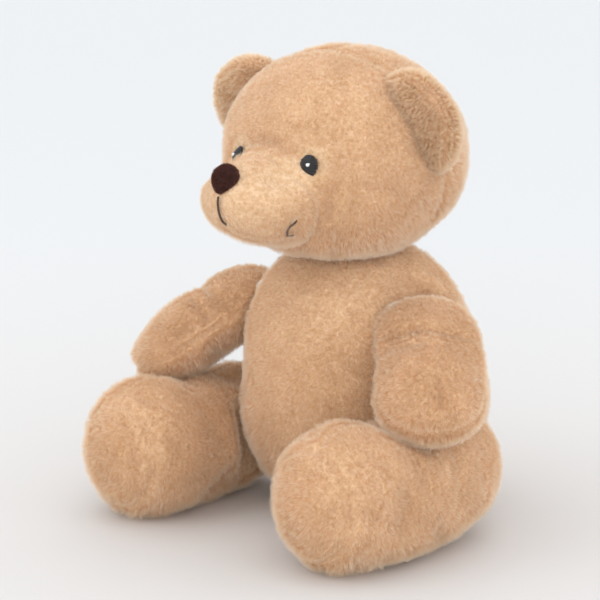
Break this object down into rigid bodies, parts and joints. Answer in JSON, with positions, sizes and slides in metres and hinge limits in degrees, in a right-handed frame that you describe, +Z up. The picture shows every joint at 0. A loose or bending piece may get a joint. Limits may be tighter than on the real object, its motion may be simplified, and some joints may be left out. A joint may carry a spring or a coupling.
{
  "type": "jointed teddy bear",
  "caption": "Sitting plush bear whose head, arms and legs turn on disc joints, with an embroidered face and a flat seat to rest on.",
  "frame": {"origin": "on the floor, on the middle line of the bear, under the front part of its seat", "axes": "+Z up, the bear faces -Y, and its own left side is +X"},
  "size_m": [0.2604, 0.2282, 0.28],
  "materials": {
    "plush": "short cream-tipped pile",
    "ear_plush": "short cream-tipped pile",
    "stuffing": "loose white fibre",
    "nose_velour": "dense short velour",
    "black_thread": "satin stitch",
    "white_thread": "satin stitch",
    "brown_thread": "twisted thread",
    "joint_plastic": "moulded"
  },
  "bodies": {
    "torso": {"belly_panel": "plush", "back_panel_left": "plush", "back_panel_right": "plush", "torso_stuffing": "stuffing", "neck_body_disc": "joint_plastic", "shoulder_body_disc_left": "joint_plastic", "shoulder_body_disc_right": "joint_plastic", "hip_body_disc_left": "joint_plastic", "hip_body_disc_right": "joint_plastic"},
    "head": {"face_panel": "plush", "muzzle_panel": "plush", "head_back_panel_left": "plush", "head_back_panel_right": "plush", "head_stuffing": "stuffing", "nose_pad": "nose_velour", "mouth_stitches": "brown_thread", "neck_stud": "joint_plastic", "neck_lock_washer": "joint_plastic", "ear_front_left": "ear_plush", "ear_front_right": "ear_plush", "ear_back_left": "ear_plush", "ear_back_right": "ear_plush", "eye_left": "black_thread", "eye_right": "black_thread", "eye_glint_left": "white_thread", "eye_glint_right": "white_thread"},
    "arm_left": {"arm_outer_panel_left": "plush", "arm_inner_panel_left": "plush", "arm_stuffing_left": "stuffing", "shoulder_stud_left": "joint_plastic", "shoulder_lock_washer_left": "joint_plastic"},
    "leg_left": {"leg_outer_panel_left": "plush", "leg_inner_panel_left": "plush", "sole_panel_left": "plush", "leg_stuffing_left": "stuffing", "hip_stud_left": "joint_plastic", "hip_lock_washer_left": "joint_plastic"},
    "arm_right": {"arm_outer_panel_right": "plush", "arm_inner_panel_right": "plush", "arm_stuffing_right": "stuffing", "shoulder_stud_right": "joint_plastic", "shoulder_lock_washer_right": "joint_plastic"},
    "leg_right": {"leg_outer_panel_right": "plush", "leg_inner_panel_right": "plush", "sole_panel_right": "plush", "leg_stuffing_right": "stuffing", "hip_stud_right": "joint_plastic", "hip_lock_washer_right": "joint_plastic"}
  },
  "joints": [
    {"name": "neck_turn", "type": "hinge", "parent": "torso", "child": "head", "pos_m": [0, 0.004, 0.16], "axis": [0, 0, 1], "range_deg": [-90, 90]},
    {"name": "shoulder_left_swing", "type": "hinge", "parent": "torso", "child": "arm_left", "pos_m": [0.049, -0.012, 0.126], "axis": [0.9397, 0, 0.342], "range_deg": [-80, 3]},
    {"name": "shoulder_right_swing", "type": "hinge", "parent": "torso", "child": "arm_right", "pos_m": [-0.049, -0.012, 0.126], "axis": [0.9397, 0, -0.342], "range_deg": [-80, 3]},
    {"name": "hip_left_swing", "type": "hinge", "parent": "torso", "child": "leg_left", "pos_m": [0.057, 0.005, 0.042], "axis": [1, 0, 0], "range_deg": [-1, 95]},
    {"name": "hip_right_swing", "type": "hinge", "parent": "torso", "child": "leg_right", "pos_m": [-0.057, 0.005, 0.042], "axis": [1, 0, 0], "range_deg": [-1, 95]}
  ]
}
